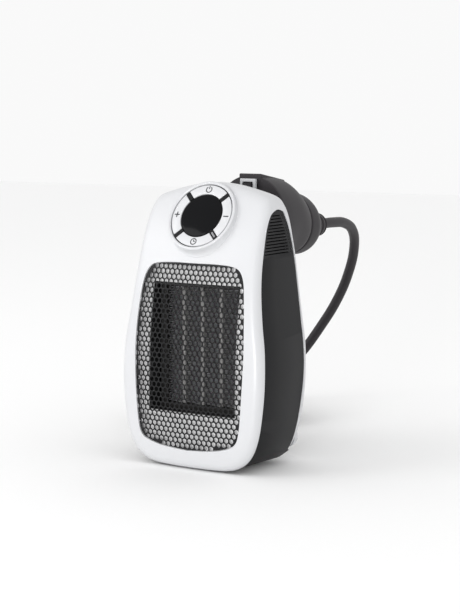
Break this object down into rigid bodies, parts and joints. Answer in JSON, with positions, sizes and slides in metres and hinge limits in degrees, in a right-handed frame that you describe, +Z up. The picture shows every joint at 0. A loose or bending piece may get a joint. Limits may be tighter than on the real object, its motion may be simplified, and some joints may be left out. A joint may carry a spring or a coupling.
{
  "type": "ceramic fan heater",
  "caption": "Small upright ceramic fan heater with perforated front, round dial with display, plugged into the socket of a corded extension lead.",
  "frame": {"origin": "on the standing surface, under the middle of the heater and the lead's socket together", "axes": "+Z up, the heater's front faces -Y, +X to the right of someone facing the front"},
  "size_m": [0.1736, 0.2586, 0.1857],
  "materials": {
    "white_shell": "satin white moulded ABS",
    "charcoal_plastic": "fine matt charcoal moulding",
    "black_gloss": "polished black",
    "black_plastic": "plain black moulding",
    "grille_metal": "black painted perforated sheet",
    "fin_aluminium": "thin rolled foil",
    "heater_ceramic": "fired ceramic bars",
    "heater_frame_board": "heat proof board",
    "pin_brass": "nickel plated brass",
    "steel": "plain steel",
    "rubber": "dark grey flexible PVC",
    "circuit_board": "solder mask",
    "indicator": "translucent grey"
  },
  "bodies": {
    "heater": {"outer_shell": "white_shell", "side_panel_left": "charcoal_plastic", "side_panel_right": "charcoal_plastic", "base_plate": "charcoal_plastic", "rear_cover": "charcoal_plastic", "front_grille": "grille_metal", "grille_surround": "white_shell", "air_duct": "black_plastic", "heater_frame": "heater_frame_board", "fan_housing": "black_plastic", "fan_motor": "steel", "display_lens": "black_gloss", "dial_carrier": "black_gloss", "indicator_window": "indicator", "display_board": "circuit_board", "control_board": "circuit_board", "power_relay": "black_plastic", "thermal_cutout": "steel", "plug_base": "charcoal_plastic", "plug_pin_1": "pin_brass", "plug_pin_2": "pin_brass", "latch_loop": "white_shell", "rear_bumper_left": "white_shell", "rear_bumper_right": "white_shell", "fin_stack_1": "fin_aluminium", "foot_pad_1": "rubber", "cover_screw_1": "steel", "fin_stack_2": "fin_aluminium", "foot_pad_2": "rubber", "cover_screw_2": "steel", "fin_stack_3": "fin_aluminium", "foot_pad_3": "rubber", "cover_screw_3": "steel", "fin_stack_4": "fin_aluminium", "foot_pad_4": "rubber", "cover_screw_4": "steel", "ptc_bar_1": "heater_ceramic", "ptc_bar_2": "heater_ceramic", "ptc_bar_3": "heater_ceramic", "switch_power": "black_plastic", "switch_plus": "black_plastic", "switch_minus": "black_plastic", "switch_timer": "black_plastic"},
    "fan": {"fan_rotor": "black_plastic", "motor_shaft": "steel"},
    "lead": {"lead_socket": "rubber", "socket_insert": "black_plastic", "latch_tongue": "black_plastic", "strain_relief": "rubber", "cord": "rubber", "cord_tail": "rubber", "cord_coil": "rubber", "coil_tie": "black_plastic", "mains_plug": "rubber", "mains_pin_1": "pin_brass", "mains_pin_2": "pin_brass"},
    "button_power": {"button_power": "white_shell"},
    "button_plus": {"button_plus": "white_shell"},
    "button_minus": {"button_minus": "white_shell"},
    "button_timer": {"button_timer": "white_shell"}
  },
  "joints": [
    {"name": "fan_spin", "type": "hinge", "parent": "heater", "child": "fan", "pos_m": [0, -0.04164, 0.07717], "axis": [0, 1, 0], "continuous": true},
    {"name": "lead_unplug", "type": "slide", "parent": "heater", "child": "lead", "axis": [0, 1, 0], "range_m": [0, 0.045]},
    {"name": "button_power_press", "type": "slide", "parent": "heater", "child": "button_power", "axis": [0, 0.866, -0.5], "range_m": [0, 0.0006], "stiffness_N_per_m": 300, "springref_m": -0.0004},
    {"name": "button_plus_press", "type": "slide", "parent": "heater", "child": "button_plus", "axis": [0, 0.866, -0.5], "range_m": [0, 0.0006], "stiffness_N_per_m": 300, "springref_m": -0.0004},
    {"name": "button_minus_press", "type": "slide", "parent": "heater", "child": "button_minus", "axis": [0, 0.866, -0.5], "range_m": [0, 0.0006], "stiffness_N_per_m": 300, "springref_m": -0.0004},
    {"name": "button_timer_press", "type": "slide", "parent": "heater", "child": "button_timer", "axis": [0, 0.866, -0.5], "range_m": [0, 0.0006], "stiffness_N_per_m": 300, "springref_m": -0.0004}
  ]
}
